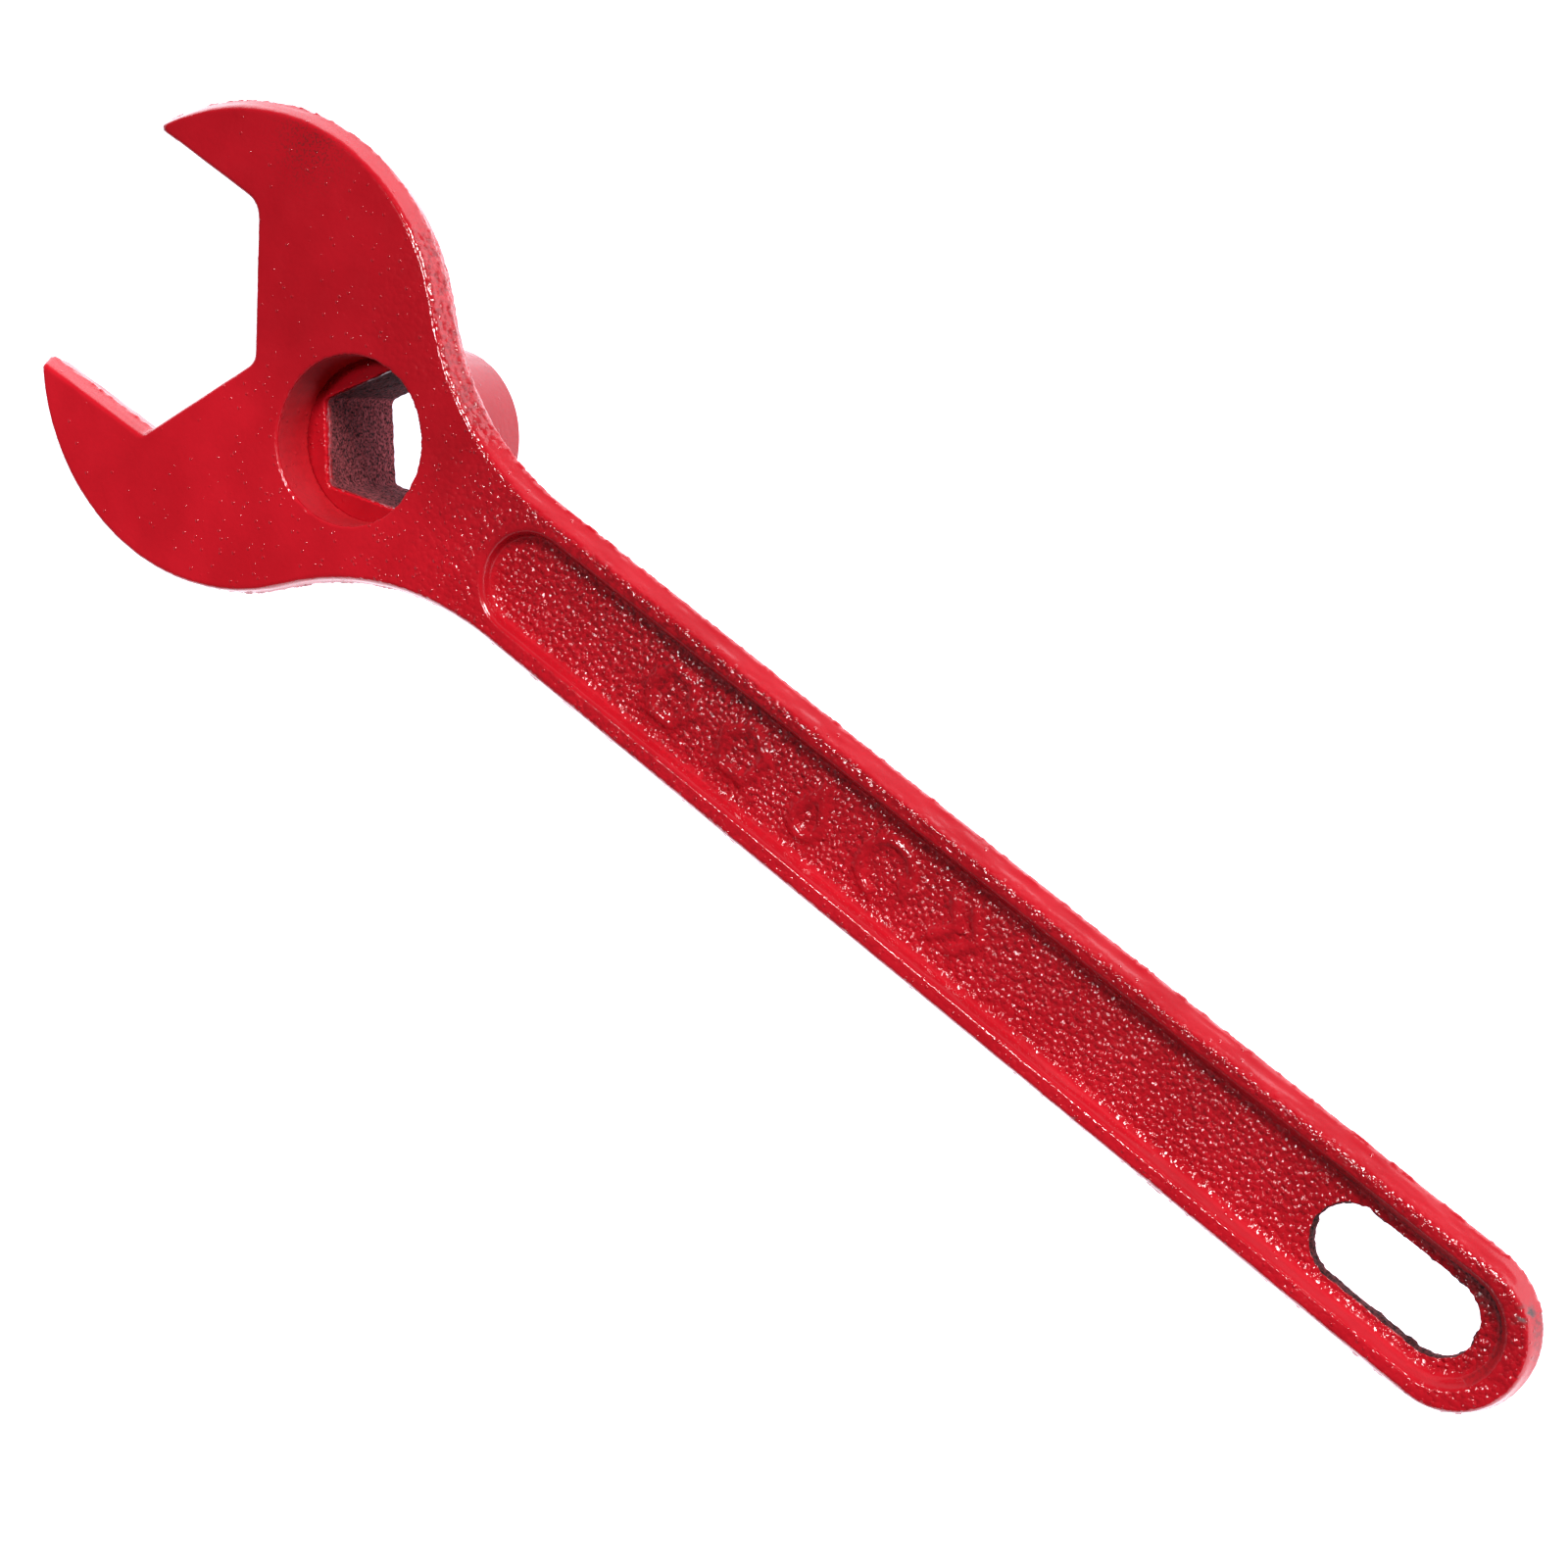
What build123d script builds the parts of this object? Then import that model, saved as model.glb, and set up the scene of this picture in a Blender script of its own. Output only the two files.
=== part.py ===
from build123d import *
import math
import os

# Fire hydrant wrench. A flat iron casting carries an open hexagonal jaw in its round head
# and an I-section handle with a hanging slot. A round barrel behind the head holds a
# five-sided socket that turns a hydrant's stem nut.
#
# Millimetres. +X runs along the handle to its tip, +Z comes out of the front face.
# The origin is on the socket's axis, at the free end of the barrel.

# Heights
overall_height = 36.9      # front face above the barrel's free end
plate_thickness = 8.4
seat_depth = 10.4          # front face down to the barrel's front end

# Round head, which sits slightly off the handle's line as cast
head_centre = Vector(-33.2, -0.2)
head_radius = 48.7         # on the two faces
head_draft = 0.9           # extra radius at the parting line
neck_radius = 60.0         # hollow curve from the head into the handle

# Hexagonal jaw
jaw_width = 55.0           # across the flats
jaw_x = -59.3              # centre of the hexagon
jaw_y = -0.4
jaw_turn = 1.9             # degrees that the hexagon is turned from the handle's axis
jaw_flare = 0.9            # degrees that each long flat opens outward
jaw_draft = 0.4
jaw_vertex_round = 3.0
jaw_upper_round = 5.5
jaw_lower_round = 2.0
tip_round = 0.9

# Handle
end_x = 275.6              # centre of the rounded end, at the parting line
end_radius = 14.3          # on the two faces
end_draft = 1.9            # extra radius at the parting line
end_lead = 1.2             # how much further out the centre lies on the faces
taper = 0.13               # degrees between the edge and the handle's axis

# Edges of the casting
edge_round = 0.6           # broken edge between a face and the drafted side
flash_height = 0.3         # parting-line ridge
flash_half_width = 0.45
mould_shift = 0.25         # how far each half's outline lies from the middle, in Y

# Sunk panel on each face of the handle
panel_x = 49.6             # centre of its round head end
panel_end_x = 275.2        # and of its handle end
panel_radius = 10.1
panel_end_radius = 11.1
panel_depth = 2.8
panel_head_slope = 0.8     # how far the wall leans in over its depth, head end
panel_end_slope = 1.9      # the same, handle end
panel_lip = 0.5            # broken edge round the panel

# Hanging slot
slot_near_x = 253.1
slot_far_x = 273.3
slot_radius = 7.3

# Round pocket in the head, above the socket
pocket_radius = 17.1       # at the front face
pocket_seat_radius = 16.5  # at the barrel's front end
boss_fillet = 2.0

# Socket barrel
barrel_radius = 19.4
barrel_edge = 0.8
socket_radius = 15.0       # centre to corner
socket_round = 1.4
socket_flare = 1.3         # bevel of the socket's free mouth

# Raised pictograms in the front panel
mark_height = 0.7
mark_line = 1.6            # width of a stroke
mark_radius = 6.4
mark_first_x = 87.2
mark_pitch = 18.4
drop_belly = 0.62          # the drop's round part, as a share of mark_radius
arrow_size = 1.7           # the arrow head's radius, in line widths
chevron_reach = 0.6        # a chevron's length and half-height, as shares of mark_radius
chevron_height = 0.8
chevron_gap = 0.8          # from one chevron to the next

front_z = overall_height
back_z = overall_height - plate_thickness
parting_z = (front_z + back_z) / 2
seat_z = overall_height - seat_depth
floor_z = front_z - panel_depth


def arc(centre, radius, start, finish):
    """The shorter arc about centre from start to finish."""
    middle = centre + ((start - centre) + (finish - centre)).normalized() * radius
    return ThreePointArc(start, middle, finish)


def tip_points(corner, side, radius, round_radius):
    """Where one jaw tip's rounding meets the jaw flat and the head's circle."""
    along = Vector(-1, 0).rotate(Axis.Z, jaw_turn - side * jaw_flare)
    into_metal = Vector(0, side).rotate(Axis.Z, jaw_turn - side * jaw_flare)
    start = corner + into_metal * round_radius - head_centre
    reach = start.dot(along)
    inner = radius - round_radius
    distance = -reach + math.sqrt(reach**2 - start.dot(start) + inner**2)
    centre = head_centre + start + along * distance
    on_flat = centre - into_metal * round_radius
    on_head = head_centre + (centre - head_centre).normalized() * radius
    return centre, on_flat, on_head


def neck_points(side, radius, hollow, end, tip_x):
    """The neck arc's centre, and where it meets the head's circle and the handle's edge."""
    slope = math.tan(math.radians(taper))
    outward = Vector(-math.sin(math.radians(taper)), side * math.cos(math.radians(taper)))
    # The centre is hollow outside the edge line, and radius + hollow from the head's centre.
    height = (end + hollow) / math.cos(math.radians(taper)) - slope * (tip_x - head_centre.X)
    height -= side * head_centre.Y
    a = 1 + slope**2
    b = slope * height
    c = height**2 - (radius + hollow) ** 2
    run = (-b + math.sqrt(b**2 - a * c)) / a
    centre = head_centre + Vector(run, side * (height + slope * run))
    on_head = head_centre + (centre - head_centre).normalized() * radius
    on_edge = centre - outward * hollow
    on_end = Vector(tip_x, 0) + outward * end
    return centre, on_head, on_edge, on_end


def jaw_point(x, y):
    """A point given from the hexagon's centre, along and across the jaw."""
    return Vector(jaw_x, jaw_y) + Vector(x, y).rotate(Axis.Z, jaw_turn)


def casting_outline(draft, inset, z):
    """The casting's outline at height z; draft is 0 on a face and 1 at the parting line."""
    radius = head_radius + draft * head_draft - inset
    hollow = neck_radius - draft * head_draft + inset
    end = end_radius + draft * end_draft - inset
    tip_x = end_x + (1 - draft) * end_lead
    half_width = jaw_width / 2 - draft * jaw_draft + inset
    tip = tip_round - inset / 2
    vertex = jaw_point(half_width * 2 / math.sqrt(3), 0)
    edges = []
    ends = {}
    for side, corner_round in ((1, jaw_upper_round), (-1, jaw_lower_round)):
        corner = jaw_point(half_width / math.sqrt(3), side * half_width)
        tip_centre, on_flat, on_head = tip_points(corner, side, radius, tip)
        neck, neck_start, neck_end, end_start = neck_points(side, radius, hollow, end, tip_x)
        edges.append(arc(tip_centre, tip, on_flat, on_head))
        edges.append(arc(head_centre, radius, on_head, neck_start))
        edges.append(arc(neck, hollow, neck_start, neck_end))
        edges.append(Line(neck_end, end_start))
        ends[side] = (on_flat, corner, corner_round, end_start)
    upper_flat, upper_corner, upper_round, upper_end = ends[1]
    lower_flat, lower_corner, lower_round, lower_end = ends[-1]
    jaw = FilletPolyline(
        upper_flat, upper_corner, vertex, lower_corner, lower_flat,
        radius=[upper_round, jaw_vertex_round, lower_round],
    )
    tip_of_handle = ThreePointArc(upper_end, Vector(tip_x + end, 0), lower_end)
    loop = Wire(list(jaw.edges()) + edges + [tip_of_handle])
    shift = -mould_shift if z > parting_z + flash_half_width else mould_shift
    return loop.moved(Location((0, shift, z)))


def panel_outline(head_end, handle_end, z):
    """A long rounded outline with the two end radii given, at height z."""
    lean = (handle_end - head_end) / (panel_end_x - panel_x)
    rise = math.sqrt(1 - lean**2)
    points = {}
    for side in (1, -1):
        normal = Vector(-lean, side * rise)
        near = Vector(panel_x, 0) + normal * head_end
        far = Vector(panel_end_x, 0) + normal * handle_end
        points[side] = (near, far)
    loop = Wire([
        ThreePointArc(points[-1][0], Vector(panel_x - head_end, 0), points[1][0]),
        Line(points[1][0], points[1][1]),
        ThreePointArc(points[1][1], Vector(panel_end_x + handle_end, 0), points[-1][1]),
        Line(points[-1][1], points[-1][0]),
    ])
    return loop.moved(Location((0, 0, z)))


def plate():
    """The flat casting before anything is sunk into it: drafted sides and a parting ridge."""
    half = plate_thickness / 2
    shoulder = half - edge_round
    levels = [
        (-half, 0, edge_round),
        (-shoulder, 0, 0),
        (-flash_half_width, 1, 0),
        (0, 1, -flash_height),
        (flash_half_width, 1, 0),
        (shoulder, 0, 0),
        (half, 0, edge_round),
    ]
    loops = [casting_outline(draft, inset, parting_z + z) for z, draft, inset in levels]
    return Solid.make_loft(loops, ruled=True)


def panel_cut():
    """The tool that sinks the front panel: a broken edge, then leaning walls to the floor."""
    above = 1.0
    lip_z = front_z - panel_lip
    mouth = Solid.make_loft([
        panel_outline(panel_radius + panel_lip + above, panel_end_radius + panel_lip + above,
                      front_z + above),
        panel_outline(panel_radius, panel_end_radius, lip_z),
    ], ruled=True)
    well = Solid.make_loft([
        panel_outline(panel_radius, panel_end_radius, lip_z),
        panel_outline(panel_radius - panel_head_slope, panel_end_radius - panel_end_slope, floor_z),
    ], ruled=True)
    return mouth + well


def ring_mark(sides, turn):
    """A regular polygon drawn as an outline."""
    outer = RegularPolygon(mark_radius, sides, rotation=turn)
    inner = RegularPolygon(mark_radius - mark_line / math.cos(math.pi / sides), sides, rotation=turn)
    return outer - inner


def drop_mark():
    """A water drop drawn as an outline, its point towards +Y."""
    belly = mark_radius * drop_belly
    centre_y = belly - mark_radius
    drops = []
    for radius in (belly, belly - mark_line):
        scale = radius / belly
        point = Vector(0, centre_y + (mark_radius - centre_y) * scale)
        lean = math.asin(radius / (point.Y - centre_y))
        right = Vector(radius * math.cos(lean), centre_y + radius * math.sin(lean))
        left = Vector(-right.X, right.Y)
        bottom = Vector(0, centre_y - radius)
        loop = Wire([Line(point, right), ThreePointArc(right, bottom, left), Line(left, point)])
        drops.append(make_face(loop.edges()))
    return drops[0] - drops[1]


def turn_mark():
    """An open ring with an arrow head: the way to turn."""
    radius = mark_radius - mark_line / 2
    ring = Circle(mark_radius) - Circle(mark_radius - mark_line)
    gap = Pos(radius, -radius) * Rectangle(2 * radius, 2 * radius)
    head = Pos(radius, -mark_line / 2) * RegularPolygon(mark_line * arrow_size, 3, rotation=-90)
    return ring - gap + head


def chevron_mark():
    """Two chevrons that point along the handle."""
    height = mark_radius * chevron_height
    reach = mark_radius * chevron_reach
    gap = mark_radius * chevron_gap
    left = -(gap + reach) / 2
    strokes = []
    for start in (left, left + gap):
        bend = Polyline((start, height), (start + reach, 0), (start, -height))
        strokes.append(trace(bend, mark_line))
    return strokes[0] + strokes[1]


def marks():
    """Five raised pictograms in a row on the front panel's floor."""
    faces = [ring_mark(6, 0), ring_mark(5, 90), drop_mark(), turn_mark(), chevron_mark()]
    solids = []
    for index, face in enumerate(faces):
        place = Pos(mark_first_x + index * mark_pitch, 0, floor_z)
        solids.append(extrude(place * face, mark_height))
    return solids


def pocket_cut():
    """The drafted round pocket, from the front face down to the barrel."""
    draft = (pocket_radius - pocket_seat_radius) / seat_depth
    above = 1.0
    height = seat_depth + above
    top = pocket_radius + draft * above
    return Pos(0, 0, seat_z + height / 2) * Cone(pocket_seat_radius, top, height)


def rear_boss():
    """The collar behind the head that runs down to the barrel in a hollow fillet."""
    drop = back_z - seat_z
    root = barrel_radius + boss_fillet
    profile = Wire([
        Line((0, seat_z), (barrel_radius, seat_z)),
        RadiusArc((barrel_radius, seat_z), (root, seat_z + drop), boss_fillet),
        Line((root, seat_z + drop), (root, parting_z)),
        Line((root, parting_z), (0, parting_z)),
        Line((0, parting_z), (0, seat_z)),
    ])
    return revolve(Plane.XZ * make_face(profile.edges()), Axis.Z)


def wrench_casting():
    body = plate() + rear_boss()
    front = panel_cut()
    body -= front
    body -= front.mirror(Plane.XY.offset(parting_z))
    for mark in marks():
        body += mark
    slot_length = slot_far_x - slot_near_x
    slot = SlotCenterToCenter(slot_length, 2 * slot_radius)
    place = Pos((slot_near_x + slot_far_x) / 2, 0, back_z)
    body -= extrude(place * slot, plate_thickness)
    body -= pocket_cut()
    return body


def socket_barrel():
    """The round barrel with a five-sided bore, one corner of it towards the jaw."""
    barrel = Pos(0, 0, seat_z / 2) * Cylinder(barrel_radius, seat_z)
    barrel = chamfer(barrel.edges().filter_by(GeomType.CIRCLE).sort_by(Axis.Z)[0], barrel_edge)
    hole = RegularPolygon(socket_radius, 5, rotation=180)
    hole = fillet(hole.vertices(), socket_round)
    barrel -= extrude(hole, seat_z)
    mouth = extrude(offset(hole, socket_flare), socket_flare, taper=45)
    return barrel - mouth


nodes = {
    "wrench_casting": wrench_casting(),
    "socket_barrel": socket_barrel(),
}

os.makedirs("parts", exist_ok=True)
for name, shape in nodes.items():
    export_step(shape, "parts/" + name + ".step")
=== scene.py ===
import bmesh
import bpy
import itertools
import math
import numpy as np
from mathutils import Matrix, Vector


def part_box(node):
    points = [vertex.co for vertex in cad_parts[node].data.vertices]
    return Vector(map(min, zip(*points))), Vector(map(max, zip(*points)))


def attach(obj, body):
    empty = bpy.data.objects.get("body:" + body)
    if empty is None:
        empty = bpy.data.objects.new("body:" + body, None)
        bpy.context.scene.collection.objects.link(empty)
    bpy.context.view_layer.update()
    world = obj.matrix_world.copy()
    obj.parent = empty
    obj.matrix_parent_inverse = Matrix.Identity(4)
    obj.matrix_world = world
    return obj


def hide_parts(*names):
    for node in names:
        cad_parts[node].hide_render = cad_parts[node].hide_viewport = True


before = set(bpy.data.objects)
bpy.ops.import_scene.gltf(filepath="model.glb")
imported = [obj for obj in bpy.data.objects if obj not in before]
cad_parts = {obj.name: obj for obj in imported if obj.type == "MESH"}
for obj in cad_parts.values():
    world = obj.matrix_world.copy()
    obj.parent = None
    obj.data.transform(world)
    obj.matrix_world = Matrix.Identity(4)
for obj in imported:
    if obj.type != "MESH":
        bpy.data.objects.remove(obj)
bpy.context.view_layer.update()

# A red enamelled cast iron hydrant wrench. Metres, in the CAD model's own frame: +X along the
# handle, +Z out of the front face, the origin on the socket's axis at the barrel's free end.
MM = 0.001
CASTING_LOW, CASTING_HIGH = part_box("wrench_casting")
BARREL_LOW, BARREL_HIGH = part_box("socket_barrel")
FRONT_Z = CASTING_HIGH.z
SEAT_Z = BARREL_HIGH.z
BACK_Z = FRONT_Z - 8.4 * MM
PARTING_Z = (FRONT_Z + BACK_Z) / 2
BARREL_RADIUS = BARREL_HIGH.x
POCKET_RADIUS = 17.1 * MM
SLOT_NEAR_X, SLOT_FAR_X = 253.1 * MM, 273.3 * MM
SLOT_RADIUS = 7.3 * MM
PANEL_NEAR_X, PANEL_FAR_X = 49.6 * MM, 275.2 * MM
PANEL_RADIUS = 10.6 * MM
PANEL_FLOOR_Z = FRONT_Z - 2.8 * MM

# The size of the mesh cells that carry the cast surface
CASTING_CELL = 0.55 * MM
BARREL_CELL = 0.5 * MM

# Marks on the casting, each with its x, y and spread on the plan in millimetres
CHIPPED_END = (285.2, 11.2, 0.8)
DUSTY_HORN = (-40, 44.5, 5.5)
DARK_NECK_PATCH = (88, 11, 26)
DARK_PANEL_END = (278, 6, 7)

# How far the relief stands out or goes in
LUMP_HEIGHT = 0.09 * MM
SWELL_HEIGHT = 0.05 * MM
STREAK_HEIGHT = 0.05 * MM
PIT_DEPTH = 0.40 * MM
FLASH_HEIGHT = 0.27 * MM
RAGGED_EDGE_HEIGHT = 0.40 * MM
CHIP_DEPTH = 0.25 * MM
BORE_GRIT_HEIGHT = 0.14 * MM
PAINT_DROP_HEIGHT = 0.45 * MM

# Linear colours of the paint, of what shows through it and of what lies on it, with the dark reds
# that also carry painted shade
RED = (0.50, 0.0060, 0.0140, 1)
BRIGHT_RED = (0.58, 0.0080, 0.0180, 1)
PIT_SHADE_RED = (0.10, 0.003, 0.006, 1)
THIN_AND_SHADED_RED = (0.09, 0.006, 0.008, 1)
DARK_IRON = (0.014, 0.005, 0.006, 1)
RUSTY_IRON = (0.34, 0.070, 0.080, 1)
DUST_COLOUR = (0.06, 0.02, 0.02, 1)
CHIP_COLOUR = (0.12, 0.08, 0.08, 1)

# Camera: an 85 mm lens 0.7 m away, tilted 27 degrees from the front face's normal, and the
# point that the lamps face
VIEW_DIRECTION = Vector((0.322, 0.331, 0.887)).normalized()
VIEW_UP = Vector((-0.5951, 0.7994, -0.0823))
VIEW_TARGET = Vector((117.1 * MM, 1.5 * MM, FRONT_Z))
VIEW_DISTANCE = 701.8 * MM
LENS = 85.17
SENSOR = 36.0
LAMPS_AIM = Vector((0.14, 0, FRONT_Z))


# ---------------------------------------------------------------- camera, floor and lights

def make_camera():
    data = bpy.data.cameras.new("camera")
    data.lens = LENS
    data.sensor_width = SENSOR
    data.clip_end = 50.0
    camera = bpy.data.objects.new("camera", data)
    bpy.context.scene.collection.objects.link(camera)
    camera.location = VIEW_TARGET + VIEW_DIRECTION * VIEW_DISTANCE
    right = VIEW_UP.cross(VIEW_DIRECTION).normalized()
    up = VIEW_DIRECTION.cross(right)
    camera.rotation_euler = Matrix((right, up, VIEW_DIRECTION)).transposed().to_euler()
    bpy.context.scene.camera = camera


def make_floor():
    """A pale floor that rises from the barrel's -X edge to the underside of the handle's tip.

    The rim's +X edge is 3.3 mm below it, so the floor hides that much of the barrel.
    """
    slope = math.atan2(BACK_Z, CASTING_HIGH.x + BARREL_RADIUS)
    size = 6.0
    gap = 0.2 * MM
    mesh = bpy.data.meshes.new("floor")
    corners = [(-size, -size, 0), (size, -size, 0), (size, size, 0), (-size, size, 0)]
    mesh.from_pydata(corners, [], [(0, 1, 2, 3)])
    floor = bpy.data.objects.new("floor", mesh)
    bpy.context.scene.collection.objects.link(floor)
    floor.rotation_euler = (0, -slope, 0)
    floor.location = (-BARREL_RADIUS, 0, -gap)
    material = bpy.data.materials.new("floor_white")
    material.use_nodes = True
    shader = material.node_tree.nodes["Principled BSDF"]
    shader.inputs["Base Color"].default_value = (0.8, 0.8, 0.8, 1)
    shader.inputs["Roughness"].default_value = 0.9
    shader.inputs["Emission Color"].default_value = (0.85, 0.88, 1, 1)
    shader.inputs["Emission Strength"].default_value = 1.5
    mesh.materials.append(material)


def area_light(name, direction, distance, size, power):
    """A round white lamp that faces the tool from a direction."""
    data = bpy.data.lights.new(name, "AREA")
    data.shape = "DISK"
    data.size = size
    data.energy = power
    light = bpy.data.objects.new(name, data)
    bpy.context.scene.collection.objects.link(light)
    toward = Vector(direction).normalized()
    light.location = LAMPS_AIM + toward * distance
    light.rotation_euler = toward.to_track_quat("Z", "Y").to_euler()


def make_lights():
    """A soft key from the +Y side, a small high lamp that the enamel's bumps mirror, and a sky."""
    area_light("key", (0.15, 0.80, 0.60), 3.0, 0.8, 75.0)
    area_light("high", (-0.25, 0.10, 0.963), 2.4, 0.34, 17.5)
    world = bpy.data.worlds.new("studio")
    bpy.context.scene.world = world
    world.use_nodes = True
    nodes, links = world.node_tree.nodes, world.node_tree.links
    background = nodes["Background"]
    direction = nodes.new("ShaderNodeTexCoord")
    height = nodes.new("ShaderNodeSeparateXYZ")
    ramp = nodes.new("ShaderNodeValToRGB")
    horizon, overhead = ramp.color_ramp.elements
    horizon.position, horizon.color = 0.0, (0.60, 0.61, 0.68, 1)
    overhead.position, overhead.color = 0.35, (0.05, 0.05, 0.055, 1)
    links.new(direction.outputs["Generated"], height.inputs[0])
    links.new(height.outputs["Z"], ramp.inputs["Fac"])
    links.new(ramp.outputs["Color"], background.inputs["Color"])
    scene = bpy.context.scene
    scene.view_settings.view_transform = "Standard"
    scene.view_settings.look = "None"


# ---------------------------------------------------------------- random fields

TABLE_SIZE = 4096
RANDOM_TABLE = np.random.default_rng(7).uniform(-1, 1, TABLE_SIZE)
HASH_X, HASH_Y, HASH_Z, HASH_SEED = 73856093, 19349663, 83492791, 977


def value_noise(points, cell, seed):
    """Smooth random values from -1 to 1 that change over one cell length."""
    scaled = points / cell
    base = np.floor(scaled).astype(np.int64)
    part = scaled - base
    part = part * part * (3 - 2 * part)
    total = np.zeros(len(points))
    for corner in itertools.product((0, 1), repeat=3):
        at = base + np.array(corner)
        key = (at[:, 0] * HASH_X) ^ (at[:, 1] * HASH_Y) ^ (at[:, 2] * HASH_Z)
        weight = np.prod(np.where(np.array(corner) == 1, part, 1 - part), axis=1)
        total += weight * RANDOM_TABLE[(key + seed * HASH_SEED) % TABLE_SIZE]
    return total


def fractal_noise(points, cell, octaves, seed):
    """Value noise with finer octaves added at half the strength each."""
    total = np.zeros(len(points))
    for octave in range(octaves):
        total += value_noise(points, cell / 2**octave, seed + octave) / 2**octave
    return total


def smoothstep(low, high, values):
    """0 at low and 1 at high, which may be the smaller one, with a smooth change between."""
    share = np.clip((values - low) / (high - low), 0, 1)
    return share * share * (3 - 2 * share)


# ---------------------------------------------------------------- meshes

def even_copy(name, node, cell):
    """A piece with the CAD node's shape and an even mesh fine enough for cast texture."""
    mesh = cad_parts[node].data.copy()
    builder = bmesh.new()
    builder.from_mesh(mesh)
    bmesh.ops.remove_doubles(builder, verts=builder.verts, dist=0.001 * MM)
    builder.to_mesh(mesh)
    builder.free()
    mesh.materials.clear()
    piece = bpy.data.objects.new(name, mesh)
    bpy.context.scene.collection.objects.link(piece)
    remesh = piece.modifiers.new("even", "REMESH")
    remesh.mode = "VOXEL"
    remesh.voxel_size = cell
    remesh.use_smooth_shade = True
    graph = bpy.context.evaluated_depsgraph_get()
    piece.data = bpy.data.meshes.new_from_object(piece.evaluated_get(graph))
    piece.modifiers.clear()
    piece.data.name = name
    return piece


def refine(piece, wanted):
    """Halves the mesh cells whose corners all pass the test, given points and normals."""
    mesh = piece.data
    chosen = wanted(read_vectors(mesh.vertices, "co"), read_vectors(mesh.vertices, "normal"))
    builder = bmesh.new()
    builder.from_mesh(mesh)
    builder.verts.ensure_lookup_table()
    edges = [edge for edge in builder.edges if all(chosen[vert.index] for vert in edge.verts)]
    bmesh.ops.subdivide_edges(builder, edges=edges, cuts=1, use_grid_fill=True)
    long_faces = [face for face in builder.faces if len(face.verts) > 4]
    bmesh.ops.triangulate(builder, faces=long_faces)
    builder.to_mesh(mesh)
    builder.free()
    mesh.shade_smooth()


def read_vectors(items, attribute):
    values = np.empty(len(items) * 3)
    items.foreach_get(attribute, values)
    return values.reshape(-1, 3)


def write_points(mesh, points):
    mesh.vertices.foreach_set("co", points.ravel())
    mesh.update()


def soften(mesh, rounds):
    """Rounds the cell steps off, and pushes back out after each step so as not to shrink."""
    points = read_vectors(mesh.vertices, "co")
    ends = np.empty(len(mesh.edges) * 2, dtype=np.int64)
    mesh.edges.foreach_get("vertices", ends)
    ends = ends.reshape(-1, 2)
    first = np.concatenate((ends[:, 0], ends[:, 1]))
    second = np.concatenate((ends[:, 1], ends[:, 0]))
    count = np.bincount(first, minlength=len(points))[:, None]
    for step in (0.50, -0.52) * rounds:
        total = np.stack([np.bincount(first, points[second, k], len(points)) for k in range(3)], 1)
        points += step * (total / count - points)
    write_points(mesh, points)


def store(piece, **numbers):
    """Keeps numbers for each vertex, for the material to read by name."""
    for name, values in numbers.items():
        layer = piece.data.attributes.new(name, "FLOAT", "POINT")
        layer.data.foreach_set("value", values.astype(np.float32))


def keep_inside(points, low, high):
    """Holds points inside the CAD node's own box."""
    return np.clip(points, np.array(low), np.array(high))


def outside(points, near_x, far_x, radius):
    """How far outside a straight slot along X each point lies, in plan."""
    x = np.clip(points[:, 0], near_x, far_x)
    return np.hypot(points[:, 0] - x, points[:, 1]) - radius


def slot_distance(points):
    return outside(points, SLOT_NEAR_X, SLOT_FAR_X, SLOT_RADIUS)


def spot(points, x, y, radius):
    """1 at a place on the plan, falling smoothly to nothing around it."""
    square = (points[:, 0] - x * MM) ** 2 + (points[:, 1] - y * MM) ** 2
    return np.exp(-square / (2 * (radius * MM) ** 2))


def wants_detail(points, normals):
    """The parting line round the outer sides, and the slot's wall."""
    side = np.abs(normals[:, 2]) < 0.8
    past_pocket = np.hypot(points[:, 0], points[:, 1]) > POCKET_RADIUS + 1 * MM
    parting = side & past_pocket & (np.abs(points[:, 2] - PARTING_Z) < 1.1 * MM)
    slot = np.abs(slot_distance(points)) < 1.0 * MM
    return parting | slot


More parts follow.
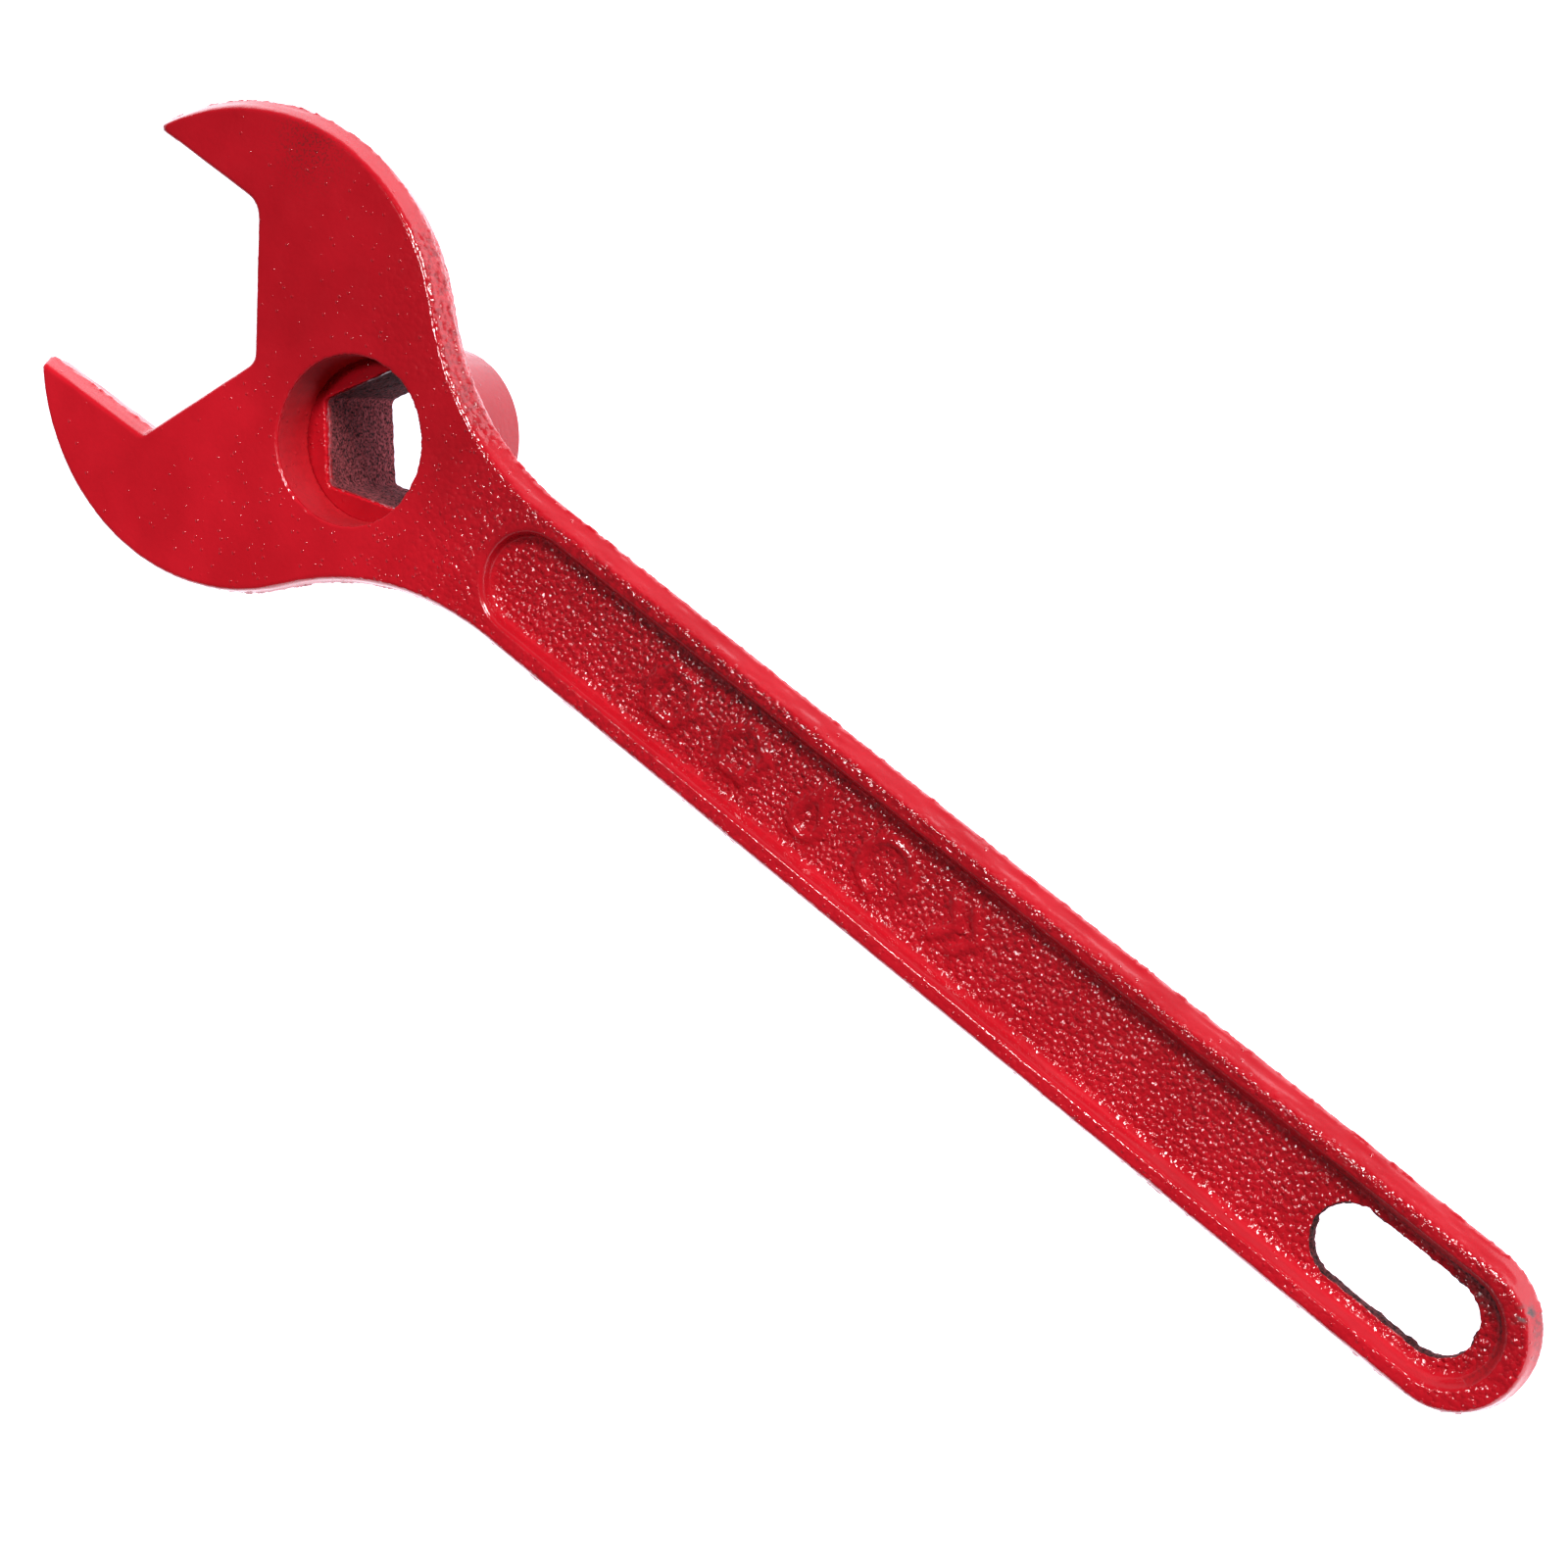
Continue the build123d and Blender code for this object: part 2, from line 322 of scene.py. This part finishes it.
def make_casting():
    """The head and handle, as cast: grain, flash on the parting line, and a ragged slot."""
    piece = even_copy("wrench_body", "wrench_casting", CASTING_CELL)
    mesh = piece.data
    soften(mesh, 3)
    refine(piece, wants_detail)
    points = read_vectors(mesh.vertices, "co")
    normals = read_vectors(mesh.vertices, "normal")
    x, y, z = points.T

    # Where each point lies: on a face or a side, in the pocket, the panel or the slot
    face = smoothstep(0.6, 0.9, np.abs(normals[:, 2]))
    side = 1 - face
    radius = np.hypot(x, y)
    in_pocket = (radius < POCKET_RADIUS + 0.7 * MM) & (z < FRONT_Z - 0.4 * MM)
    near_slot = slot_distance(points)
    handle = smoothstep(8 * MM, 52 * MM, x)
    sunk = (z < FRONT_Z - 1.5 * MM) & (z > BACK_Z + 1.5 * MM) & (x > 35 * MM)
    floor = sunk * smoothstep(0.8, 0.95, np.abs(normals[:, 2]))
    raised = smoothstep(0.2 * MM, 0.5 * MM, z - PANEL_FLOOR_Z) * sunk
    past_panel = outside(points, PANEL_NEAR_X, PANEL_FAR_X, PANEL_RADIUS)
    lip = np.exp(-(past_panel / (1.3 * MM)) ** 2) * (z > PARTING_Z)
    outer = side * ~in_pocket * (near_slot > 1 * MM) * ~(sunk & (np.abs(y) < 12 * MM))
    rough_edge = smoothstep(-18 * MM, -4 * MM, x) * smoothstep(34 * MM, 20 * MM, x)
    rough_edge *= smoothstep(14 * MM, 22 * MM, y)

    # Sand grain: little on the head's faces, coarse on the handle and coarsest on the panel floor
    grain = 0.08 + 0.62 * handle + 0.30 * floor
    grain = np.where(in_pocket, 0.04, grain)
    wall = np.maximum(sunk * side, lip)
    low_rim = handle * smoothstep(-9 * MM, -13 * MM, y)
    grain = grain * (1 - 0.88 * outer) * (1 - 0.9 * wall)
    grain = grain * (1 - 0.6 * raised) * (1 - 0.45 * low_rim)
    grain = np.maximum(grain, (0.25 + 0.35 * side) * rough_edge * ~in_pocket)
    patches = 0.5 + 0.5 * fractal_noise(points, 20 * MM, 2, seed=3)
    lumps = fractal_noise(points, 2.2 * MM, 3, seed=1)
    swells = fractal_noise(points, 13 * MM, 2, seed=5)
    height = lumps * LUMP_HEIGHT * grain * (0.6 + 0.6 * patches)
    height += swells * SWELL_HEIGHT * (0.3 + 0.7 * handle) * (1 - 0.8 * outer)

    # Drafted sides: drawn streaks along the parting line and a pitted stretch above the neck
    streaks = fractal_noise(points * np.array([0.3, 0.3, 1.8]), 2.0 * MM, 3, seed=9)
    height += outer * streaks * STREAK_HEIGHT
    pits = np.clip(fractal_noise(points, 1.1 * MM, 2, seed=13) - 0.05, 0, 1)
    height -= outer * rough_edge * pits * PIT_DEPTH

    # Parting line: a broken ridge of flash, torn off short
    ridge = np.exp(-((z - PARTING_Z - 0.15 * MM * streaks) / (0.33 * MM)) ** 2)
    torn = np.clip(fractal_noise(points, 1.3 * MM, 3, seed=21) * 1.1 + 0.1, -0.6, 1.0)
    height += outer * ridge * torn * FLASH_HEIGHT

    # The slot's edge is left as cast, uneven all round
    slot_wall = np.exp(-np.clip(near_slot / (0.9 * MM), -2, 8) ** 2) * (near_slot < 4 * MM)
    ragged = fractal_noise(points, 1.8 * MM, 3, seed=31)
    moved = normals * height[:, None]
    moved[:, :2] += normals[:, :2] * (slot_wall * side * ragged * RAGGED_EDGE_HEIGHT)[:, None]

    # A chip on the handle's rounded end
    chip = spot(points, *CHIPPED_END) * (z > PARTING_Z + 1.5 * MM)
    chip *= smoothstep(0.3, 0.8, 0.5 + fractal_noise(points, 1.0 * MM, 2, seed=61))
    moved -= normals * (chip * CHIP_DEPTH)[:, None]
    write_points(mesh, keep_inside(points + moved, CASTING_LOW, CASTING_HIGH))

    # How thin the paint is, with painted shade laid in as thin paint, and where it is dull
    # A darker patch of paint about the neck
    thin_and_shade = 0.35 * spot(points, *DARK_NECK_PATCH)
    # Painted shade: the handle darker towards its +Y side
    thin_and_shade += 0.15 * smoothstep(-8 * MM, 14 * MM, y) * handle
    # Painted shadow: the panel floor darker in a band beside its +Y wall
    thin_and_shade += 0.25 * sunk * smoothstep(4 * MM, 10 * MM, y)
    # A darker patch on the panel floor at its far end
    thin_and_shade += 0.45 * sunk * spot(points, *DARK_PANEL_END)
    by_slot = side * (past_panel < 0.8 * MM) * (near_slot < 9 * MM)
    by_slot *= (y > -6 * MM) * (z > PARTING_Z)
    # Painted shade in the pocket and on the panel's wall by the slot; the rough stretch above the
    # neck has thin paint
    thin_and_shade = thin_and_shade * (1 - outer) + 0.12 * in_pocket + 0.35 * outer * rough_edge + 0.35 * by_slot
    # Bare iron on the slot's wall, and the thin paint and painted shade everywhere else
    bare = np.clip(np.maximum(slot_wall * side, thin_and_shade), 0, 1)
    chipped = np.clip(chip * 2.2, 0, 1)
    dust = 0.7 * face * spot(points, *DUSTY_HORN) * (z > PARTING_Z)
    dull = np.maximum.reduce([
        0.9 * smoothstep(0.6, 1.0, bare),
        0.6 * chipped,
        0.15 * dust,
        0.7 * in_pocket,
        0.25 * outer * rough_edge,
        0.95 * by_slot,
    ])
    nibs = 0.08 + 0.27 * smoothstep(-50 * MM, 0, x) + 0.45 * smoothstep(0, 35 * MM, x)
    nibs = np.where(in_pocket, 0.2, nibs) * (1 - 0.8 * outer) * (1 - 0.8 * wall)
    # Painted light: the paint scaled lighter towards -Y, less on the outer sides, and darker on the
    # slot's wall
    tone = 0.96 + 0.30 * smoothstep(10 * MM, -12 * MM, y) * (1 - 0.5 * outer)
    tone *= 1 - 0.75 * slot_wall * side
    store(piece, grain=grain, nibs=nibs, bare=bare, chip=chipped, dust=dust, dull=dull, tone=tone)
    mesh.materials.append(enamel("red_enamel_cast", 1.6))
    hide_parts("wrench_casting")
    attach(piece, "root")


def make_barrel():
    """The turned barrel: paint outside and on its seat, and a dark rough bore."""
    piece = even_copy("socket", "socket_barrel", BARREL_CELL)
    mesh = piece.data
    soften(mesh, 3)
    points = read_vectors(mesh.vertices, "co")
    normals = read_vectors(mesh.vertices, "normal")
    x, y, z = points.T
    radius = np.hypot(x, y)
    inward = -(normals[:, 0] * x + normals[:, 1] * y) / np.maximum(radius, 0.1 * MM)
    bore = smoothstep(0.2, 0.5, inward) * (radius < 17 * MM)
    seat = smoothstep(0.5, 0.9, normals[:, 2])
    grit = fractal_noise(points * np.array([1, 1, 0.6]), 1.2 * MM, 2, seed=41)
    drops = np.clip(fractal_noise(points, 2.4 * MM, 2, seed=45) - 0.1, 0, 1)
    height = bore * grit * BORE_GRIT_HEIGHT + seat * drops * PAINT_DROP_HEIGHT
    height += (1 - bore) * fractal_noise(points, 9 * MM, 2, seed=51) * SWELL_HEIGHT
    points += normals * height[:, None]
    write_points(mesh, keep_inside(points, BARREL_LOW, BARREL_HIGH))

    # Paint runs a little way into the bore; the paint is scaled darker outside, lighter on the seat
    # and in the bore, with painted shade on the bore's walls that face -Y
    grain = 0.06 + 0.6 * bore
    nibs = 0.04 + 0.3 * bore + 0.7 * seat * smoothstep(-6 * MM, -12 * MM, x)
    bare = bore * smoothstep(0.2 * MM, 2.5 * MM, SEAT_Z - z + 0.8 * MM * grit)
    none = np.zeros(len(points))
    shaded = smoothstep(-0.2, -0.7, normals[:, 1])
    # Painted shade where the bore's walls face -Y
    tone = 0.60 + 0.28 * seat + 0.60 * bore * (1 - 1.4 * shaded)
    dull = 0.9 * bare
    store(piece, grain=grain, nibs=nibs, bare=bare, chip=none, dust=none, dull=dull, tone=tone)
    mesh.materials.append(enamel("red_enamel_turned", 1.38))
    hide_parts("socket_barrel")
    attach(piece, "root")


# ---------------------------------------------------------------- materials

class Graph:
    """Short calls for building one material's nodes."""

    def __init__(self, name):
        self.material = bpy.data.materials.new(name)
        self.material.use_nodes = True
        self.tree = self.material.node_tree
        self.shader = self.tree.nodes["Principled BSDF"]

    def put(self, value, socket):
        """Links another node's output to a socket, or sets a plain value on it."""
        if isinstance(value, bpy.types.NodeSocket):
            self.tree.links.new(value, socket)
        else:
            socket.default_value = value

    def number(self, name):
        """What store kept for each vertex under a name."""
        node = self.tree.nodes.new("ShaderNodeAttribute")
        node.attribute_name = name
        return node.outputs["Fac"]

    def place(self):
        return self.tree.nodes.new("ShaderNodeTexCoord").outputs["Object"]

    def noise(self, size, detail=2.0, rough=0.5):
        """Fractal noise from 0 to 1 whose features are about size metres across."""
        node = self.tree.nodes.new("ShaderNodeTexNoise")
        node.inputs["Scale"].default_value = 1 / size
        node.inputs["Detail"].default_value = detail
        node.inputs["Roughness"].default_value = rough
        self.tree.links.new(self.place(), node.inputs["Vector"])
        return node.outputs["Fac"]

    def domes(self, size, radius, smooth=0.0):
        """Round bumps from 1 down to 0 about scattered points, and each point's own number."""
        node = self.tree.nodes.new("ShaderNodeTexVoronoi")
        node.feature = "SMOOTH_F1" if smooth else "F1"
        node.inputs["Scale"].default_value = 1 / size
        if smooth:
            node.inputs["Smoothness"].default_value = smooth
        self.tree.links.new(self.place(), node.inputs["Vector"])
        parts = self.tree.nodes.new("ShaderNodeSeparateColor")
        self.tree.links.new(node.outputs["Color"], parts.inputs[0])
        square = self.math("MULTIPLY", node.outputs["Distance"], node.outputs["Distance"])
        return self.spread(square, 0.0, (radius / size) ** 2, 1.0, 0.0), parts.outputs[0]

    def math(self, kind, first, second=0.0):
        node = self.tree.nodes.new("ShaderNodeMath")
        node.operation = kind
        self.put(first, node.inputs[0])
        self.put(second, node.inputs[1])
        return node.outputs[0]

    def spread(self, value, low, high, to_low, to_high):
        """value from low..high taken to to_low..to_high, held at both ends."""
        node = self.tree.nodes.new("ShaderNodeMapRange")
        for socket, given in zip(node.inputs, (value, low, high, to_low, to_high)):
            self.put(given, socket)
        return node.outputs[0]

    def mix(self, share, first, second):
        node = self.tree.nodes.new("ShaderNodeMix")
        node.data_type = "RGBA"
        self.put(share, node.inputs["Factor"])
        self.put(first, node.inputs["A"])
        self.put(second, node.inputs["B"])
        return node.outputs["Result"]

    def scale(self, colour, by):
        node = self.tree.nodes.new("ShaderNodeVectorMath")
        node.operation = "SCALE"
        self.put(colour, node.inputs[0])
        self.put(by, node.inputs["Scale"])
        return node.outputs[0]

    def bump(self, height, distance, below=None):
        node = self.tree.nodes.new("ShaderNodeBump")
        node.inputs["Strength"].default_value = 1.0
        self.put(distance, node.inputs["Distance"])
        self.put(height, node.inputs["Height"])
        if below is not None:
            self.put(below, node.inputs["Normal"])
        return node.outputs["Normal"]


def enamel(name, index):
    """Gloss red enamel over sand-cast iron; the stored bareness runs from 0, full paint, to 1, dark
    iron, and also carries painted shade.
    """
    g = Graph(name)
    grain, nibs, bare = g.number("grain"), g.number("nibs"), g.number("bare")
    chip, dust = g.number("chip"), g.number("dust")
    grit = g.noise(1.1 * MM, 3.0, 0.6)
    fine = g.noise(0.5 * MM, 2.0, 0.5)
    patches = g.noise(16 * MM, 3.0)

    # Colour: two close reds, with painted shade in the pits of the grain, and the dark red where
    # the paint is thin and where shade is painted in, weighted to the grain's valleys as painted
    # shade
    patch = g.spread(patches, 0.35, 0.65, 0.0, 1.0)
    red = g.mix(patch, RED, BRIGHT_RED)
    # Painted shade: the pit red where the grain's bump is low
    pit_shade = g.math("MULTIPLY", g.spread(grit, 0.34, 0.50, 1.0, 0.0), grain)
    red = g.mix(g.math("MULTIPLY", pit_shade, 0.3), red, PIT_SHADE_RED)
    # Painted shade: the thin-paint red weighted to the grain's valleys
    valleys = g.spread(grit, 0.40, 0.56, 1.0, 0.25)
    thin_and_shade = g.math("MULTIPLY", valleys, g.spread(bare, 0.0, 0.6, 0.0, 1.0))
    red = g.mix(g.math("MULTIPLY", thin_and_shade, 0.7), red, THIN_AND_SHADED_RED)

    # Iron where it is bare, and where painted shade is laid on deep enough, and dust and a chip
    # over either
    iron = g.mix(g.spread(fine, 0.35, 0.65, 0.0, 1.0), DARK_IRON, RUSTY_IRON)
    colour = g.mix(g.spread(bare, 0.6, 0.9, 0.0, 1.0), red, iron)
    specks = g.math("MULTIPLY", g.spread(fine, 0.53, 0.60, 0.0, 1.0), 0.8)
    colour = g.mix(g.math("MULTIPLY", dust, specks), colour, DUST_COLOUR)
    colour = g.mix(chip, colour, CHIP_COLOUR)
    # The colour is scaled by the stored tone, which carries painted light and shade
    g.put(g.scale(colour, g.number("tone")), g.shader.inputs["Base Color"])

    # Gloss: smooth enamel but for the dull places, which are rougher and mirror less
    gloss = g.spread(g.noise(5 * MM, 2.0), 0.3, 0.7, 0.09, 0.17)
    dull = g.number("dull")
    g.put(g.math("MAXIMUM", gloss, dull), g.shader.inputs["Roughness"])
    g.put(g.spread(dull, 0.3, 0.9, 0.5, 0.2), g.shader.inputs["Specular IOR Level"])
    g.shader.inputs["IOR"].default_value = index

    # Relief: paint rounded over the sand grain, and nibs, more of them where nibs is higher
    grains, _ = g.domes(1.2 * MM, 0.85 * MM, 0.3)
    uneven = g.spread(g.noise(3 * MM, 2.0), 0.3, 0.7, 0.5, 1.2)
    nib, own = g.domes(1.35 * MM, 0.42 * MM)
    first = g.bump(g.math("MULTIPLY", nib, g.math("LESS_THAN", own, nibs)), 0.12 * MM)
    second = g.bump(grains, g.math("MULTIPLY", g.math("MULTIPLY", grain, uneven), 0.26 * MM), first)
    g.put(g.bump(grit, g.math("MULTIPLY", grain, 0.15 * MM), second), g.shader.inputs["Normal"])
    return g.material


make_camera()
make_floor()
make_lights()
make_casting()
make_barrel()
